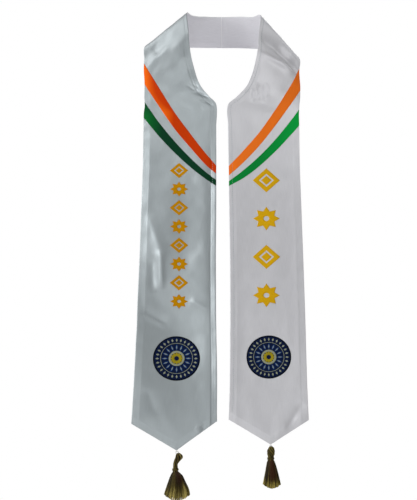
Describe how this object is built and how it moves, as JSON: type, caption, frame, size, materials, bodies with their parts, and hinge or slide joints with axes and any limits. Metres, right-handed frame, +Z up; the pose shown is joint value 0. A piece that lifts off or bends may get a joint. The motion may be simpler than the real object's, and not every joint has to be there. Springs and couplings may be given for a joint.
{
  "type": "graduation sash",
  "caption": "Lined satin sash worn round the neck, its two bands hanging down the front to pointed hems with thread tassels.",
  "frame": {"origin": "centre of the neck opening, at the height of the two shoulder ridges", "axes": "+Z up, +X to the right as seen from the front, +Y to the back; the bands hang on the -Y side"},
  "size_m": [0.3222, 0.2135, 0.9023],
  "materials": {
    "face_satin": "pale silver satin with a soft sheen, printed with stripes, gold marks and a round emblem",
    "lining_satin": "plain pale silver satin",
    "pale_cord": "twisted off-white cord",
    "metallic_thread": "dark gold metallic thread",
    "orange_print": "orange printed on satin",
    "green_print": "green printed on satin",
    "gold_print": "matt gold printed on satin",
    "navy_print": "navy printed on satin",
    "blue_print": "blue printed on satin",
    "sewing_thread": "pale grey sewing thread"
  },
  "bodies": {
    "root": {"face_left": "face_satin", "face_right": "face_satin", "lining_left": "lining_satin", "lining_right": "lining_satin", "tassel_loop_left": "pale_cord", "tassel_loop_right": "pale_cord", "tassel_left": "metallic_thread", "tassel_right": "metallic_thread", "tassel_binding_left": "metallic_thread", "tassel_binding_right": "metallic_thread"}
  },
  "joints": []
}
